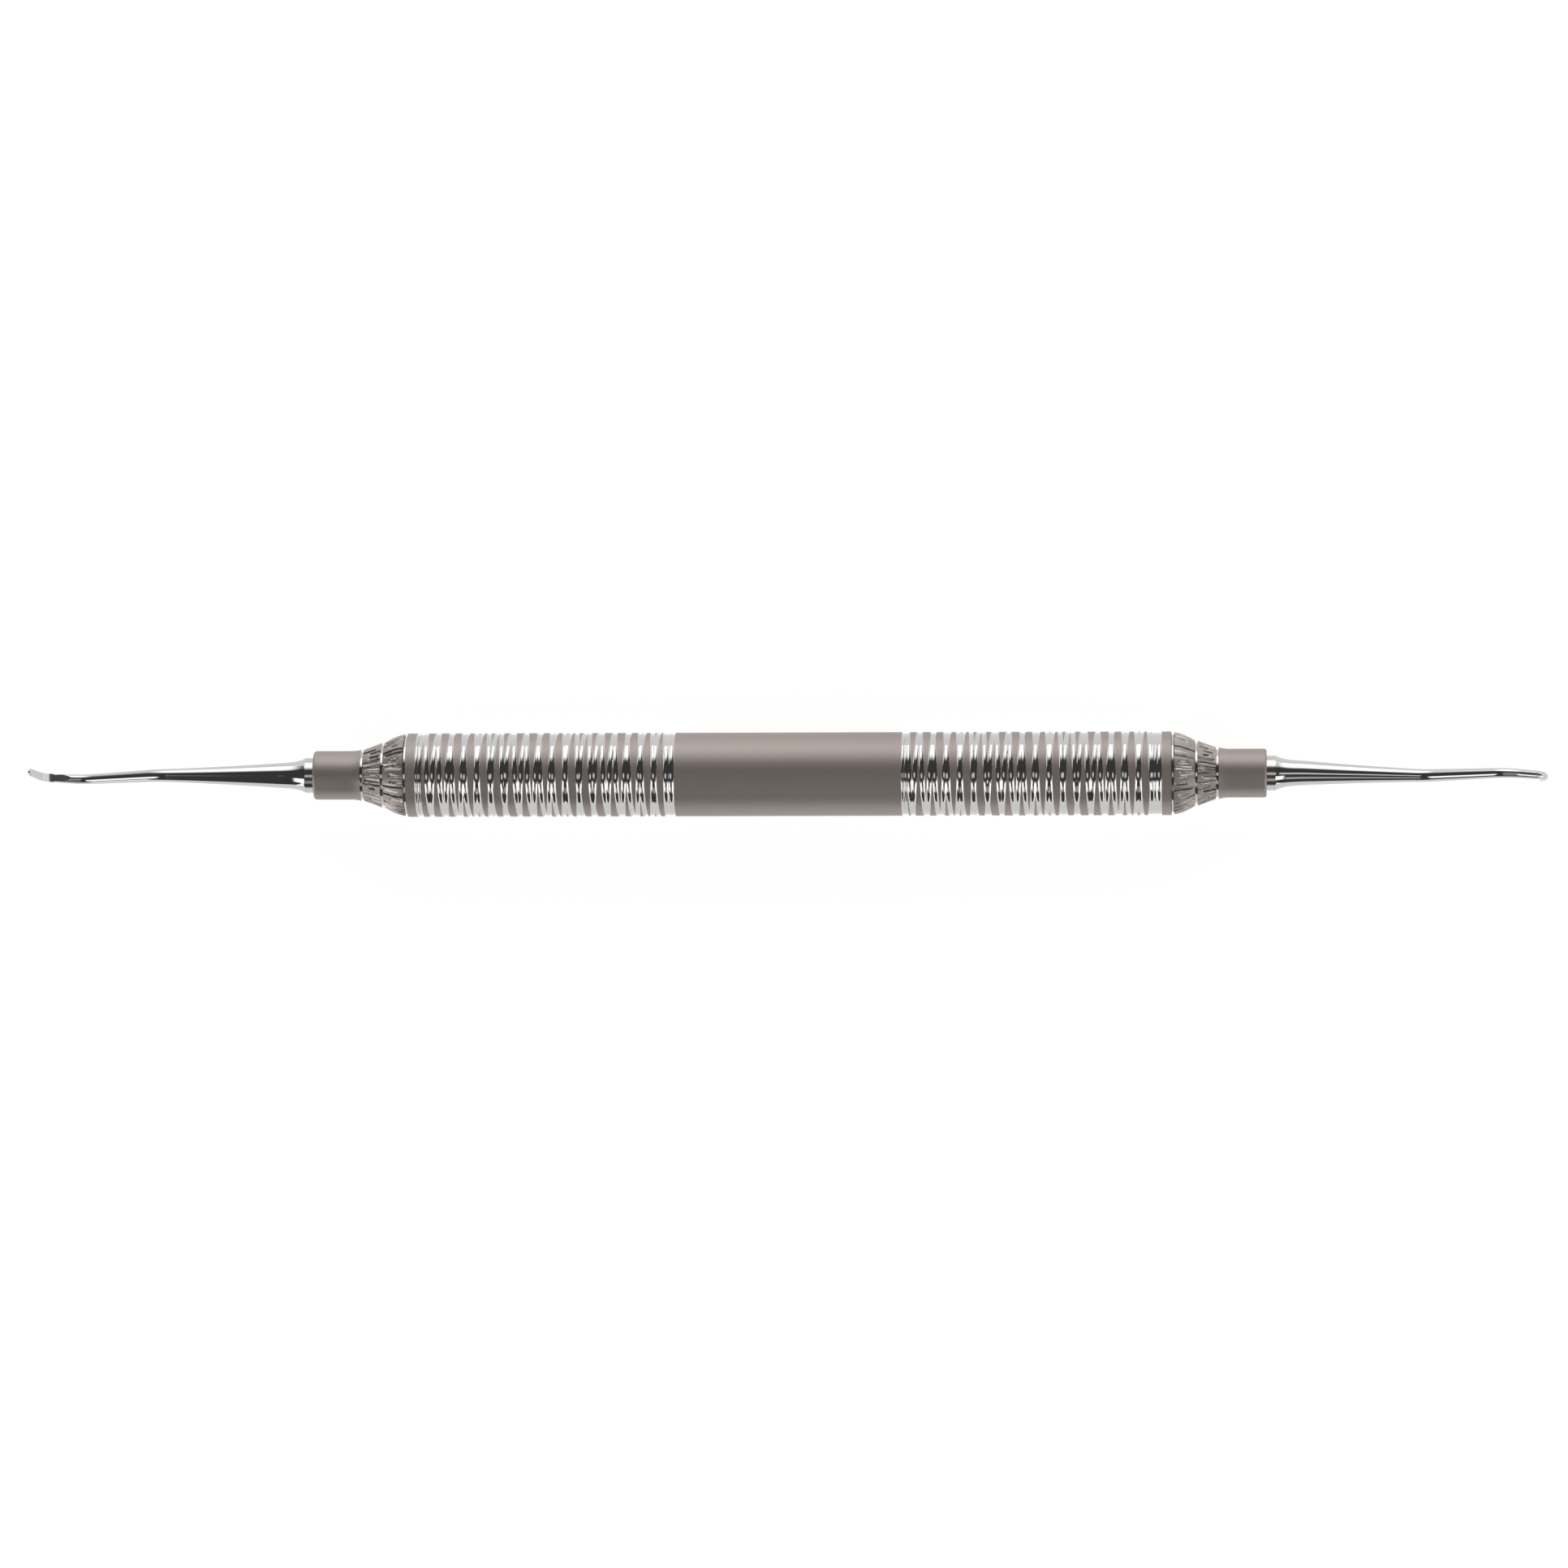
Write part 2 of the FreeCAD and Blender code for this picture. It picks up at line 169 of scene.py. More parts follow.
# Finishes: colour, roughness from and to, grains to the metre, how much darker a grain is, and its
# height in metres.
STEELS = {
    "satin": ((0.41, 0.364, 0.344, 1), (0.5, 0.58), 9000, 0.12, 4e-6),
    "polished": ((0.57, 0.56, 0.555, 1), (0.06, 0.09), 3000, 0.05, 2e-7),
    "mirror": ((0.57, 0.565, 0.57, 1), (0.04, 0.06), 2000, 0.04, 1e-7),
    "burnished": ((0.42, 0.385, 0.37, 1), (0.24, 0.31), 9000, 0.12, 2e-6),
    "dull": ((0.55, 0.54, 0.54, 1), (0.14, 0.18), 6000, 0.06, 5e-7),
}

# Studio, by direction in degrees: across the handle from overhead (+ is the upper side of the picture)
# and along it (+ is right). Each oval is its centre, its half widths and the softness of its edge.
UPPER_BANK = ((72, 5), (27, 46), 0.35)
UPPER_STRENGTH = 0.85
UPPER_CORE = ((70, 4), (24, 29), 0.5)
CORE_STRENGTH = 1.1
LOWER_BANK = ((-85, 0), (65, 95), 0.07)
LOWER_SHADE = ((-71, 6), (19, 49), 0.15)
LOWER_STRENGTH = 1.9
# The lower bank is out over the handle and comes in towards both ends, between these directions.
LOWER_FADE = (21, 32)
DARKEST = 0.06
# Each pane: its span across, its span along, its strength and the softness of its edge across.
PANES = (
    ((-54, -37), (-8, 22), 0.55, 3),
    ((-11, 2), (-10, 42), 0.85, 2.5),
    ((48, 95), (47, 84), 1.0, 3),
    ((87, 180), (-90, 90), 1.0, 3),
    ((-180, -87), (-90, 90), 1.0, 3),
)
PANE_SOFT_ALONG = 4
STUDIO_TINT = (1, 0.99, 0.98, 1)
WHITE = (1, 1, 1, 1)

# Floor, in metres.
FLOOR_HALF = 1.5
FLOOR_COLOR = (0.3, 0.3, 0.3, 1)
FLOOR_GLOW = 0.89

# Photograph: its width, its scale and the pixel of the handle's middle; the camera is in millimetres.
PHOTO_WIDTH = 1932
PIXELS_PER_MM = 10.84
OBJECT_PIXEL = (972.5, 954.0)
CAMERA_HEIGHT = 1022.0
CAMERA_OFFSET = 54.8
CAMERA_ROLL = math.radians(0.145)
SENSOR = 36.0


def link(new_object):
    """Put a new object in the scene."""
    bpy.context.scene.collection.objects.link(new_object)
    return new_object


def build(name, points, faces, materials, slots):
    """A mesh piece from points in millimetres, with one material slot number for each face."""
    mesh = bpy.data.meshes.new(name)
    mesh.from_pydata([(x * MM, y * MM, z * MM) for x, y, z in points], [], faces)
    for material in materials:
        mesh.materials.append(material)
    mesh.polygons.foreach_set("material_index", slots)
    mesh.polygons.foreach_set("use_smooth", [True] * len(mesh.polygons))
    mesh.update()
    mesh.set_sharp_from_angle(angle=SMOOTH_ANGLE)
    mesh.validate()
    return link(bpy.data.objects.new(name, mesh))


def turned_point(x, radius, angle):
    """A point at an angle that runs from the top line (+Z) towards the lower side (-Y)."""
    return (x, -radius * math.sin(angle), radius * math.cos(angle))


def shares(count):
    """Evenly spaced numbers from nought to one, both included."""
    return [k / count for k in range(count + 1)]


def knurl_cuts(seed, teeth):
    """Irregular cuts: for each, its angle, sway, half width, depth and the part of the cone it covers."""
    dice = random.Random(seed)
    cuts = []
    for tooth in range(teeth):
        angle = TURN * (tooth + dice.uniform(-CUT_STRAY, CUT_STRAY)) / teeth
        sway = (dice.uniform(-CUT_LEAN, CUT_LEAN), dice.uniform(*CUT_WAVE), dice.uniform(0, TURN))
        half = dice.uniform(*CUT_HALF)
        depth = dice.uniform(*CUT_DEPTH)
        low = dice.choice(CUT_STARTS)
        high = dice.choice(CUT_ENDS)
        if dice.random() < FAINT_CHANCE:
            depth *= FAINT_DEPTH
        cuts.append((angle, sway, half, depth, low, high))
    return cuts


def knurl_depth(cuts, angle, along):
    """Depth of the knurl at an angle and at a share of the cone's length."""
    depth = 0.0
    for centre, (lean, wave, phase), half, deepest, low, high in cuts:
        drift = lean * (along - 0.5) + wave * math.sin(phase + TURN * along)
        gap = (angle - centre + math.pi) % TURN - math.pi
        gap = abs(gap * len(cuts) / TURN - drift)
        if gap >= half:
            continue
        rise = max(0.0, (along - low) / CUT_FADE + 1.0)
        fall = max(0.0, (high - along) / CUT_FADE + 1.0)
        depth = max(depth, deepest * min(1.0, rise, fall) * (1 - (gap / half) ** CUT_ROUNDNESS))
    return depth


class Profile:
    """The closed outline of a turned piece: (x, radius) points, a material for each edge, and its knurl."""

    def __init__(self):
        self.points = []
        self.slots = []
        self.knurls = {}

    def add(self, points, slot=SATIN):
        self.points += points
        self.slots += [slot] * len(points)

    def add_cone(self, start, length, radii, steps, cuts, bulge=0.0, chamfer=0.0):
        """A knurled cone between two radii, which may swell in its middle and start at a chamfer."""
        for share in shares(steps):
            swell = bulge * 4 * share * (1 - share)
            radius = radii[0] + (radii[1] - radii[0]) * share + swell
            self.knurls[len(self.points)] = (cuts, share)
            self.add([(start + max(share * length, chamfer), radius)])

    def add_ring(self, start, top, floor, first=0):
        """A polished ring groove with a broken floor, from its point with the number first onwards."""
        groove = [
            (start, top),
            (start + FLOOR_BREAK, floor + FLOOR_RISE),
            (start + FLOOR_INSET, floor),
            (start + RING_WIDTH - FLOOR_INSET, floor),
            (start + RING_WIDTH - FLOOR_BREAK, floor + FLOOR_RISE),
        ]
        self.add(groove[first:], POLISHED)

    def cut_depth(self, station, angle):
        """Depth of the knurl at one of the outline's points and at an angle."""
        if station not in self.knurls:
            return 0.0
        cuts, share = self.knurls[station]
        return knurl_depth(cuts, angle, share)


def revolved(name, profile, around, materials, direction=1, place=0.0):
    """A turned piece on the handle's axis, in which a face that the knurl cuts takes the last material."""
    points = []
    cuts = []
    for station, (x, radius) in enumerate(profile.points):
        for k in range(around):
            angle = TURN * k / around
            cuts.append(profile.cut_depth(station, angle))
            points.append(turned_point(place + direction * x, radius - cuts[-1], angle))
    faces = []
    slots = []
    count = len(profile.points)
    for station in range(count):
        following = (station + 1) % count
        for k in range(around):
            after = (k + 1) % around
            quad = (
                station * around + k,
                station * around + after,
                following * around + after,
                following * around + k,
            )
            faces.append(quad if direction > 0 else tuple(reversed(quad)))
            is_cut = max(cuts[corner] for corner in quad) > CUT_SHOWS
            slots.append(len(materials) - 1 if is_cut else profile.slots[station])
    return build(name, points, faces, materials, slots)


def tube_ring(name, start, end, materials):
    """A plain satin length of the tube."""
    profile = Profile()
    profile.add([(start, RADIUS), (end, RADIUS), (end, RADIUS - WALL), (start, RADIUS - WALL)])
    return revolved(name, profile, AROUND_GRIP, materials)


def arc_depth(distance, width, depth):
    """How deep a round-bottomed groove of a width and depth is at a distance from its middle."""
    half = width / 2
    if distance >= half:
        return 0.0
    radius = (half**2 + depth**2) / (2 * depth)
    return math.sqrt(radius**2 - distance**2) - (radius - depth)


def helix_cuts(side, angle, start, end):
    """Middle, width and depth of each helical groove that crosses one line of a grip between its rings."""
    left_width, right_width = END_RINGS
    low = start + left_width - GROOVE_WIDTH / 2
    high = end - right_width + GROOVE_WIDTH / 2
    cuts = []
    for pitch, origin in GROOVES[side]:
        # A whole turn shifts each groove by its pitch, so the grooves meet where the turn closes.
        drift = pitch * angle / TURN
        step = abs(pitch)
        first = math.ceil((start - origin - drift) / step) - 1
        last = math.floor((end - origin - drift) / step) + 1
        for k in range(first, last + 1):
            middle = origin + drift + k * step
            if low < middle < high:
                cuts.append((middle, GROOVE_WIDTH, GROOVE_DEPTH))
    return cuts


def ring_cuts(side, start, end):
    """The turned rings at the ends of a grip, each of two or three round-bottomed cuts."""
    left_width, right_width = END_RINGS
    right_shares = OUTER_RIGHT_SHARES if side == "right" else RING_SHARES
    rings = ((start, left_width, RING_SHARES), (end - right_width, right_width, right_shares))
    cuts = []
    for place, width, parts in rings:
        for share in parts:
            each = share * width
            cuts.append((place + each / 2, each * RING_OVERLAP, min(RING_DEPTH, each / 2)))
            place += each
    return cuts


def grip_line(side, angle, start, end, cells):
    """One line of a grip along X: places snapped to the edges of its grooves, and how deep each is."""
    cuts = helix_cuts(side, angle, start, end) + ring_cuts(side, start, end)
    places = [start + (end - start) * k / cells for k in range(cells + 1)]
    step = (end - start) / cells
    taken = {0, cells}
    edges = []
    for middle, width, _ in cuts:
        edges += [middle - width / 2, middle + width / 2]
    for edge in sorted(edges):
        k = round((edge - start) / step)
        covered = any(abs(edge - middle) < width / 2 - TOUCH for middle, width, _ in cuts)
        if k in taken or not 0 < k < cells or covered:
            continue
        places[k] = edge
        taken.add(k)
    depths = []
    for x in places:
        deepest = max(arc_depth(abs(x - middle), width, depth) for middle, width, depth in cuts)
        depths.append(deepest if deepest > SHALLOWEST else 0.0)
    return places, depths


def grip_surface(depths, cells):
    """Triangles of a grip's outer surface, polished where a groove cuts them and satin elsewhere."""
    faces = []
    slots = []
    width = cells + 1
    for row in range(AROUND_GRIP):
        after = (row + 1) % AROUND_GRIP
        for k in range(cells):
            a, b = row * width + k, row * width + k + 1
            c, d = after * width + k + 1, after * width + k
            cut = [depths[corner] > 0 for corner in (a, b, c, d)]
            # The fold of each cell follows the edge between land and groove.
            if cut[0] == cut[2] and cut[1] != cut[3]:
                triangles = ((a, c, b), (a, d, c))
            else:
                triangles = ((a, d, b), (b, d, c))
            for triangle in triangles:
                faces.append(triangle)
                slots.append(POLISHED if any(depths[corner] > 0 for corner in triangle) else SATIN)
    return faces, slots


def grip_bore(first, width):
    """Faces of a grip's bore and end rings; first is the number of the bore's first point."""
    faces = []
    for row in range(AROUND_GRIP):
        after = (row + 1) % AROUND_GRIP
        near, near_after = first + row, first + after
        far, far_after = near + AROUND_GRIP, near_after + AROUND_GRIP
        faces.append((row * width, near, near_after, after * width))
        faces.append((near, far, far_after, near_after))
        faces.append((row * width + width - 1, after * width + width - 1, far_after, far))
    return faces


def make_grip(side, start, end, materials):
    """One grip: crossed helical grooves polished in a satin tube, with its bore and end faces."""
    cells = round((end - start) / GRIP_STEP)
    points = []
    depths = []
    for row in range(AROUND_GRIP):
        angle = TURN * row / AROUND_GRIP
        places, line = grip_line(side, angle, start, end, cells)
        points += [turned_point(x, RADIUS - cut, angle) for x, cut in zip(places, line)]
        depths += line
    faces, slots = grip_surface(depths, cells)
    bore = grip_bore(len(points), cells + 1)
    for x in (start, end):
        points += [turned_point(x, RADIUS - WALL, TURN * row / AROUND_GRIP) for row in range(AROUND_GRIP)]
    return build(f"grip_{side}", points, faces + bore, materials, slots + [SATIN] * len(bore))


def ferrule_profile(side):
    """A ferrule's outline: spigot, polished rings, two knurled cones, collar and bore."""
    shoulder = RADIUS - SHOULDER_STEP
    large_start = RING_WIDTH
    large_end = large_start + LARGE_CONE_LENGTH
    small_start = large_end + RING_WIDTH
    small_end = small_start + SMALL_CONE_LENGTH
    collar_start = small_end + RING_WIDTH
    spigot = RADIUS - WALL - FIT
    large_cuts = knurl_cuts(f"{side}_large", LARGE_CONE_TEETH)
    small_cuts = knurl_cuts(f"{side}_small", SMALL_CONE_TEETH)
    large_radii = (shoulder, CONE_JOINT_RADIUS)
    small_radii = (CONE_JOINT_RADIUS, SMALL_CONE_END_RADIUS)
    chamfer, chamfer_depth = LARGE_CONE_CHAMFER

    profile = Profile()
    profile.add([(-SPIGOT_LENGTH, AXIS_RADIUS), (-SPIGOT_LENGTH, spigot), (-FIT, spigot)])
    profile.add([(0, shoulder - RING_GROOVE - SEAT_STEP)], POLISHED)
    profile.add_ring(0, shoulder, shoulder - RING_GROOVE, first=2)
    profile.add([(large_start, shoulder - chamfer_depth)])
    profile.add_cone(
        large_start, LARGE_CONE_LENGTH, large_radii, LARGE_CONE_STEPS, large_cuts, LARGE_CONE_BULGE, chamfer
    )
    profile.add_ring(large_end, CONE_JOINT_RADIUS - JOINT_RING_STEP, CONE_JOINT_RADIUS - RING_GROOVE)
    profile.add_cone(small_start, SMALL_CONE_LENGTH, small_radii, SMALL_CONE_STEPS, small_cuts)
    last_radius = SMALL_CONE_END_RADIUS
    profile.add_ring(small_end, last_radius - COLLAR_RING_STEP, last_radius - RING_GROOVE)
    add_collar(profile, collar_start)
    return profile


def add_collar(profile, start):
    """The plain collar with its flared start and rounded edge, and the blind bore for the tang."""
    end = start + COLLAR_LENGTH
    for share in shares(FLARE_STEPS):
        swell = (COLLAR_MOUTH_RADIUS - COLLAR_RADIUS) * (1 - share) ** 2
        profile.add([(start + share * COLLAR_FLARE, COLLAR_RADIUS + swell)])
    for share in shares(EDGE_STEPS):
        angle = share * math.pi / 2
        x = end - COLLAR_EDGE * (1 - math.sin(angle))
        profile.add([(x, COLLAR_RADIUS - COLLAR_EDGE * (1 - math.cos(angle)))])
    bore = TANG_RADIUS + FIT
    floor = end - TANG_LENGTH - TANG_SPARE
    profile.add([(end, bore), (floor, bore), (floor, AXIS_RADIUS)])


def make_ferrule(side, materials):
    """A turned end piece, with its shoulder against the end of the tube."""
    direction = 1 if side == "right" else -1
    name = f"ferrule_{side}_steel"
    return revolved(name, ferrule_profile(side), AROUND_FERRULE, materials, direction, direction * TUBE_END)


def shank_radius(run):
    """Radius of a working end at a length from the collar, measured along its line."""
    if run <= BASE_LENGTH:
        return BASE_RADIUS
    if run <= BEND_START:
        slope = (NECK_RADIUS - BEND_RADIUS) / (BEND_START - FLARE_END)
        line = NECK_RADIUS + slope * (FLARE_END - run)
        base_line = NECK_RADIUS + slope * (FLARE_END - BASE_LENGTH)
        left = max(0.0, (FLARE_END - run) / (FLARE_END - BASE_LENGTH))
        share = max(0.0, (run - FLARE_END) / (BEND_START - FLARE_END))
        foot = (BASE_RADIUS - base_line) * left**FLARE_POWER
        return line + foot - TAPER_HOLLOW * 4 * share * (1 - share)
    bends = [radius * math.radians(angle) for radius, angle in (FIRST_BEND, SECOND_BEND)]
    bent = sum(bends) + MIDDLE_LENGTH + TERMINAL_LENGTH
    if run <= BEND_START + bent:
        return BEND_RADIUS + (TERMINAL_RADIUS - BEND_RADIUS) * (run - BEND_START) / bent
    share = min(1.0, (run - BEND_START - bent) / (BLADE_CURVE + BLADE_POINT))
    return TERMINAL_RADIUS + (TOE_RADIUS - TERMINAL_RADIUS) * share


class Walker:
    """A frame that walks along the line of a working end: its X runs ahead and its Z is up."""

    def __init__(self, turn):
        self.place = Vector((0, 0, 0))
        self.frame = Matrix.Identity(3)
        self.run = 0.0
        self.turn = turn
        self.in_blade = False
        self.stations = []
        self.note()

    def note(self):
        """Keep a station here; sections before the blade are already turned as the blade is."""
        faced = self.frame @ Matrix.Rotation(math.radians(self.turn), 3, "X")
        self.stations.append((self.place.copy(), faced, self.run, self.in_blade))

    def rotate(self, angle, axis):
        self.frame = self.frame @ Matrix.Rotation(math.radians(angle), 3, axis)

    def walk(self, length, angle=0):
        """Go on by a length, turning upwards by an angle in all."""
        steps = max(4, round(length / SHANK_STEP))
        for _ in range(steps):
            self.rotate(-angle / steps / 2, "Y")
            self.place += self.frame @ Vector((length / steps, 0, 0))
            self.rotate(-angle / steps / 2, "Y")
            self.run += length / steps
            self.note()

    def bend(self, radius, angle, way=1):
        """Go round a bend, upwards (1) or downwards (-1)."""
        self.walk(radius * math.radians(angle), way * angle)

    def start_blade(self):
        """Turn about the line, and keep the blade's first section where the shank's last one is."""
        self.rotate(self.turn, "X")
        self.turn = 0.0
        self.in_blade = True
        self.note()


def walk_end(lean, blade, turn):
    """All stations of a working end from the collar's face to the middle of its ball toe."""
    walker = Walker(turn)
    walker.walk(FLARE_END)
    walker.rotate(-lean, "Z")
    walker.walk(BEND_START - FLARE_END)
    walker.bend(*FIRST_BEND)
    walker.walk(MIDDLE_LENGTH)
    walker.bend(*SECOND_BEND, way=-1)
    walker.walk(TERMINAL_LENGTH)
    walker.start_blade()
    walker.walk(BLADE_CURVE, -blade)
    walker.walk(BLADE_POINT)
    return walker.stations


def face_edge(radius):
    """Half the angle that the flat face takes of a blade's section."""
    return math.acos(FACE_DEPTH / radius) if radius > FACE_DEPTH else 0.0


def round_angles(edge):
    """Angles from the lowest point of a section to its points outside the face, right round."""
    return [edge + (TURN - 2 * edge) * k / ROUND_POINTS for k in range(ROUND_POINTS)]


def blade_section(radius):
    """A circle whose lower side is a flat face a little below its middle."""
    edge = face_edge(radius)
    reach = radius * math.sin(edge)
    depth = min(radius, FACE_DEPTH)
    places = [(radius * math.sin(angle), -radius * math.cos(angle)) for angle in round_angles(edge)]
    return places + [(-reach + 2 * reach * k / FACE_POINTS, -depth) for k in range(FACE_POINTS)]


def shank_section(radius, facet=None):
    """A full circle, or one with a facet, whose points join those of the blade's sections."""
    edge = face_edge(radius)
    angles = round_angles(edge) + [-edge + 2 * edge * k / FACE_POINTS for k in range(FACE_POINTS)]
    deepest = radius if facet is None else min(radius, facet)
    return [(radius * math.sin(angle), -min(radius * math.cos(angle), deepest)) for angle in angles]


def tang_rows(face):
    """Sections of the tang inside the collar, up to the chamfer where the foot meets it."""
    tang = [
        (-TANG_LENGTH, AXIS_RADIUS),
        (-TANG_LENGTH, TANG_RADIUS),
        (-FIT, TANG_RADIUS),
        (0.0, BASE_RADIUS - BASE_CHAMFER),
    ]
    return [(Vector((x, 0, 0)), face, shank_section(radius)) for x, radius in tang]


def shank_rows(side):
    """Sections of the shank and the blade, up to the middle of the toe."""
    form = ENDS[side]
    stations = walk_end(form["lean"], form["blade"], form["turn"])
    blade_start = next(run for _, _, run, in_blade in stations if in_blade)
    rows = []
    for place, face, run, in_blade in stations:
        radius = shank_radius(run)
        ground = (run - blade_start + TERMINAL_LENGTH) / TERMINAL_LENGTH
        if in_blade:
            outline = blade_section(radius)
        elif side == "left" and ground > 0:
            facet = radius + (LEFT_FACET - radius) * min(1.0, FACET_RUN_IN * ground)
            outline = shank_section(radius, facet)
        else:
            outline = shank_section(radius)
        rows.append((place, face, outline))
    return rows


def toe_rows(middle, face):
    """Sections of the toe, a half ball round its middle."""
    rows = []
    for k in range(1, TOE_STEPS):
        angle = k * math.pi / 2 / TOE_STEPS
        place = middle + face @ Vector((TOE_RADIUS * math.sin(angle), 0, 0))
        rows.append((place, face, blade_section(TOE_RADIUS * math.cos(angle))))
    return rows


def loft(rows, around):
    """Faces between rows of points that each go once round, with a face over both ends."""
    faces = []
    for row in range(rows - 1):
        low, high = row * around, (row + 1) * around
        for k in range(around):
            following = (k + 1) % around
            faces.append((low + k, low + following, high + following, high + k))
    faces.append(tuple(reversed(range(around))))
    faces.append(tuple(range((rows - 1) * around, rows * around)))
    return faces


def make_working_end(side, materials):
    """A tang, a tapered shank with two bends, and a hooked blade with a flat inner face."""
    shank = shank_rows(side)
    tang = tang_rows(shank[0][1])
    toe_middle, toe_face, _ = shank[-1]
    rows = tang + shank + toe_rows(toe_middle, toe_face)

    outer_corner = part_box(f"ferrule_{side}")[1 if side == "right" else 0]
    base = Vector((outer_corner[0] / MM, 0, 0))
    half_turn = Matrix.Rotation(math.pi, 3, "Z") if side == "left" else Matrix.Identity(3)
    pose = half_turn @ Matrix.Rotation(math.radians(ENDS[side]["roll"]), 3, "X")
    points = []
    for place, face, outline in rows:
        for across, rise in outline:
            points.append(tuple(base + pose @ (place + face @ Vector((0, across, rise)))))
    faces = loft(len(rows), AROUND_SHANK)
    dull_faces = (len(tang) + round(BASE_LENGTH / SHANK_STEP)) * AROUND_SHANK
    slots = [DULL if k < dull_faces else MIRROR for k in range(len(faces))]
    return build(f"shank_{side}_steel", points, faces, materials, slots)


class Nodes:
    """Short ways to add nodes to a tree."""

    def __init__(self, tree):
        self.tree = tree
        tree.nodes.clear()

    def add(self, kind, inputs=(), **settings):
        """A new node, with its settings, its links and the values of its inputs."""
        node = self.tree.nodes.new(kind)
        for key, value in settings.items():
            setattr(node, key, value)
        for key, value in dict(inputs).items():
            if isinstance(value, bpy.types.NodeSocket):
                self.tree.links.new(value, node.inputs[key])
            else:
                node.inputs[key].default_value = value
        return node

    def math(self, operation, first, second=0.0):
        return self.add("ShaderNodeMath", {0: first, 1: second}, operation=operation).outputs[0]

    def fade(self, value, low, high, start=0.0, end=1.0):
        """A smooth step of a value from one number to another."""
        inputs = {"Value": value, "From Min": low, "From Max": high, "To Min": start, "To Max": end}
        node = self.add("ShaderNodeMapRange", inputs, interpolation_type="SMOOTHSTEP")
        return node.outputs["Result"]

    def window(self, value, span, soft):
        """One between two numbers and nought outside, with soft edges."""
        low, high = span
        rise = self.fade(value, low - soft, low + soft)
        fall = self.fade(value, high - soft, high + soft, 1.0, 0.0)
        return self.math("MULTIPLY", rise, fall)

    def oval(self, across, along, form):
        """One inside an oval of two directions and nought outside, with a soft edge."""
        centre, half, soft = form
        parts = []
        for value, middle, reach in ((across, centre[0], half[0]), (along, centre[1], half[1])):
            share = self.math("DIVIDE", self.math("SUBTRACT", value, middle), reach)
            parts.append(self.math("POWER", share, 2.0))
        distance = self.math("SQRT", self.math("ADD", *parts))
        return self.fade(distance, 1 - soft, 1 + soft, 1.0, 0.0)


def steel(finish):
    """Stainless steel whose colour, roughness and surface vary in fine grains."""
    color, roughness, grain_scale, grain_shade, grain_height = STEELS[finish]
    material = bpy.data.materials.new(f"{finish}_steel")
    material.use_nodes = True
    nodes = Nodes(material.node_tree)
    place = nodes.add("ShaderNodeTexCoord").outputs["Object"]
    noise = nodes.add("ShaderNodeTexNoise", {"Vector": place, "Scale": grain_scale, "Detail": 3.0})
    grain = noise.outputs["Fac"]
    rough = nodes.fade(grain, 0.3, 0.7, *roughness)
    dark = [channel * (1 - grain_shade) for channel in color[:3]] + [1.0]
    tint = nodes.add("ShaderNodeMix", {"Factor": grain, "A": dark, "B": color}, data_type="RGBA")
    bump = nodes.add("ShaderNodeBump", {"Height": grain, "Strength": 1.0, "Distance": grain_height})
    shader = nodes.add("ShaderNodeBsdfPrincipled", {
        "Base Color": tint.outputs["Result"],
        "Metallic": 1.0,
        "Roughness": rough,
        "Normal": bump.outputs["Normal"],
    })
    nodes.add("ShaderNodeOutputMaterial", {"Surface": shader.outputs[0]})
    return material


def studio_strength(nodes):
    """How bright the studio is in each direction: its banks and panes added up."""
    way = nodes.add("ShaderNodeTexCoord").outputs["Generated"]
    split = nodes.add("ShaderNodeSeparateXYZ", {"Vector": way}).outputs
    across = nodes.math("DEGREES", nodes.math("ARCTAN2", split[1], split[2]))
    along = nodes.math("DEGREES", nodes.math("ARCSINE", split[0]))
    upper = nodes.math("MULTIPLY", nodes.oval(across, along, UPPER_BANK), UPPER_STRENGTH)
    core = nodes.math("MULTIPLY", nodes.oval(across, along, UPPER_CORE), CORE_STRENGTH)
    bank = nodes.oval(across, along, LOWER_BANK)
    shade = nodes.oval(across, along, LOWER_SHADE)
    lower = nodes.math("SUBTRACT", bank, shade)
    ends = nodes.fade(nodes.math("ABSOLUTE", along), *LOWER_FADE, 0.0, LOWER_STRENGTH)
    lower = nodes.math("MAXIMUM", nodes.math("MULTIPLY", lower, ends), DARKEST)
    total = nodes.math("ADD", nodes.math("ADD", upper, core), lower)
    for span_across, span_along, strength, soft in PANES:
        pane_across = nodes.window(across, span_across, soft)
        pane_along = nodes.window(along, span_along, PANE_SOFT_ALONG)
        pane = nodes.math("MULTIPLY", pane_across, pane_along)
        total = nodes.math("ADD", nodes.math("MULTIPLY", pane, strength), total)
    return total


def make_world():
    """A studio with a bank of light on each side and a dark gap overhead, white for the camera."""
    world = bpy.data.worlds.new("studio")
    bpy.context.scene.world = world
    world.use_nodes = True
    nodes = Nodes(world.node_tree)
    studio = nodes.add("ShaderNodeBackground", {"Color": STUDIO_TINT, "Strength": studio_strength(nodes)})
    white = nodes.add("ShaderNodeBackground", {"Color": WHITE, "Strength": 1.0})
    seen = nodes.add("ShaderNodeLightPath").outputs["Is Camera Ray"]
    mixed = nodes.add("ShaderNodeMixShader", {0: seen, 1: studio.outputs[0], 2: white.outputs[0]})
    nodes.add("ShaderNodeOutputWorld", {"Surface": mixed.outputs[0]})


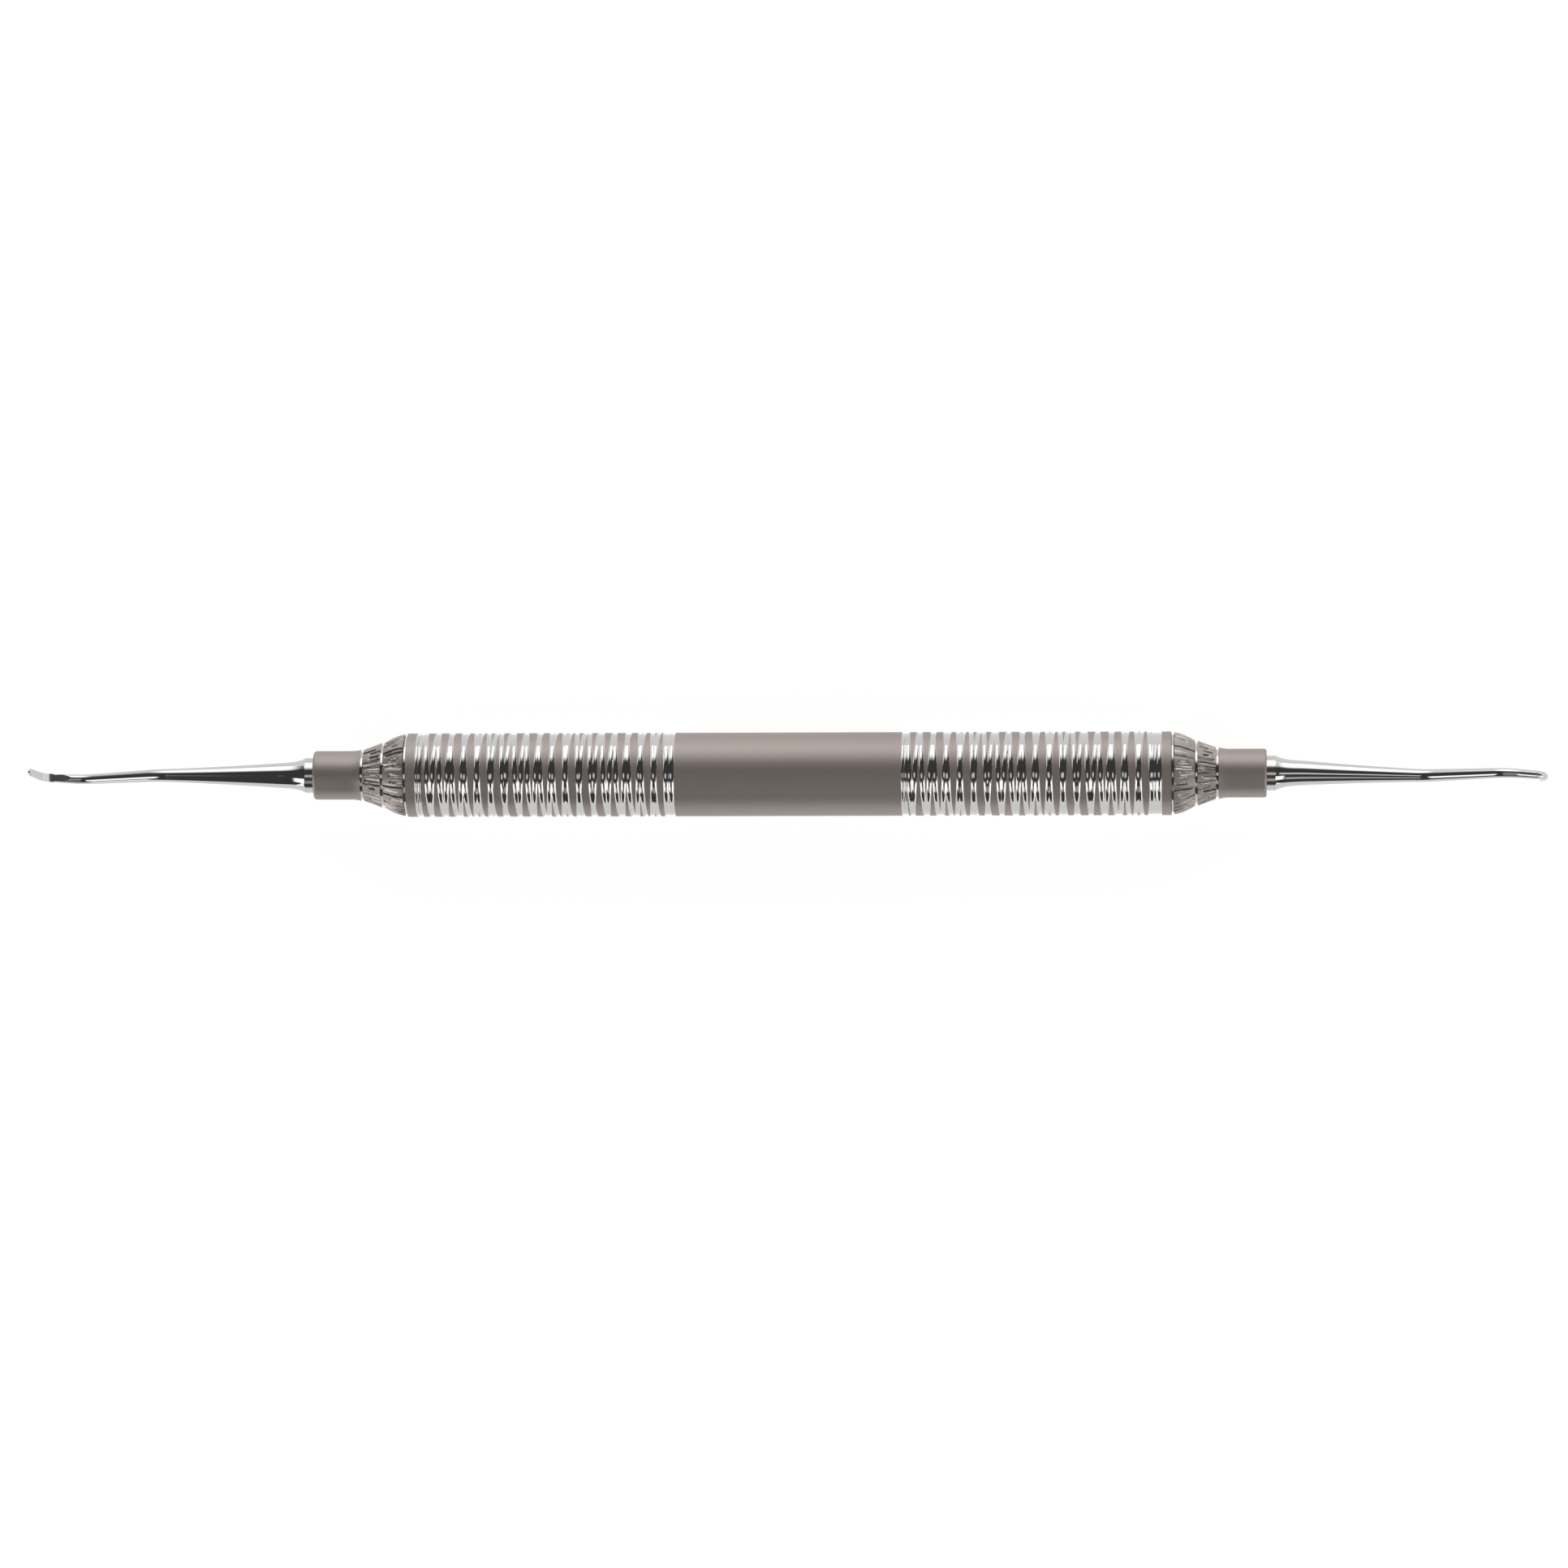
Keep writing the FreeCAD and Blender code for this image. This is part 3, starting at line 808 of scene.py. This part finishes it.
def floor_material():
    """White to the camera and in reflections, with room for the object's faint shadow."""
    material = bpy.data.materials.new("floor_white")
    material.use_nodes = True
    nodes = Nodes(material.node_tree)
    diffuse = nodes.add("ShaderNodeBsdfDiffuse", {"Color": FLOOR_COLOR})
    path = nodes.add("ShaderNodeLightPath").outputs
    mirrored = nodes.math("MAXIMUM", path["Is Glossy Ray"], path["Is Transmission Ray"])
    seen = nodes.math("MAXIMUM", path["Is Camera Ray"], mirrored)
    strength = nodes.math("MULTIPLY", seen, FLOOR_GLOW)
    glow = nodes.add("ShaderNodeEmission", {"Color": WHITE, "Strength": strength})
    both = nodes.add("ShaderNodeAddShader", {0: diffuse.outputs[0], 1: glow.outputs[0]})
    nodes.add("ShaderNodeOutputMaterial", {"Surface": both.outputs[0]})
    return material


def make_floor():
    """A white floor under the handle."""
    half, height = FLOOR_HALF, -RADIUS * MM
    mesh = bpy.data.meshes.new("floor")
    corners = [(-half, -half, height), (half, -half, height), (half, half, height), (-half, half, height)]
    mesh.from_pydata(corners, [], [(0, 1, 2, 3)])
    mesh.materials.append(floor_material())
    link(bpy.data.objects.new("floor", mesh))


def make_camera():
    """The photograph's view: from above, a little to the right of the middle."""
    data = bpy.data.cameras.new("camera")
    camera = link(bpy.data.objects.new("camera", data))
    centre = PHOTO_WIDTH / 2
    aim = Vector((
        (centre - OBJECT_PIXEL[0]) / PIXELS_PER_MM * MM,
        (OBJECT_PIXEL[1] - centre) / PIXELS_PER_MM * MM,
        0.0,
    ))
    camera.location = (CAMERA_OFFSET * MM, 0.0, CAMERA_HEIGHT * MM)
    sight = aim - camera.location
    data.sensor_width = SENSOR
    data.lens = SENSOR * sight.length / (PHOTO_WIDTH / PIXELS_PER_MM * MM)
    back = -sight.normalized()
    right = Vector((0, 1, 0)).cross(back).normalized()
    up = back.cross(right)
    rotation = Matrix((right, up, back)).transposed() @ Matrix.Rotation(-CAMERA_ROLL, 3, "Z")
    camera.rotation_euler = rotation.to_euler()
    data.clip_start = 0.01
    bpy.context.scene.camera = camera


def main():
    bpy.context.scene.view_settings.view_transform = "Standard"
    satin, polished, mirror, burnished, dull = [steel(finish) for finish in STEELS]
    handle = [
        tube_ring("centre_band", -BAND_HALF, BAND_HALF, [satin]),
        tube_ring("land_right", GRIP_END, TUBE_END, [satin]),
        tube_ring("land_left", -TUBE_END, -GRIP_END, [satin]),
        make_grip("right", BAND_HALF, GRIP_END, [satin, polished]),
        make_grip("left", -GRIP_END, -BAND_HALF, [satin, polished]),
    ]
    for piece in handle:
        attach(piece, "root")
        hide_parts("handle_tube")
    for side in ("right", "left"):
        ferrule = make_ferrule(side, [satin, polished, burnished])
        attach(ferrule, "root")
        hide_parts(f"ferrule_{side}")
        end = make_working_end(side, [mirror, dull])
        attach(end, "root")
        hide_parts(f"working_end_{side}")
    make_world()
    make_floor()
    make_camera()


main()
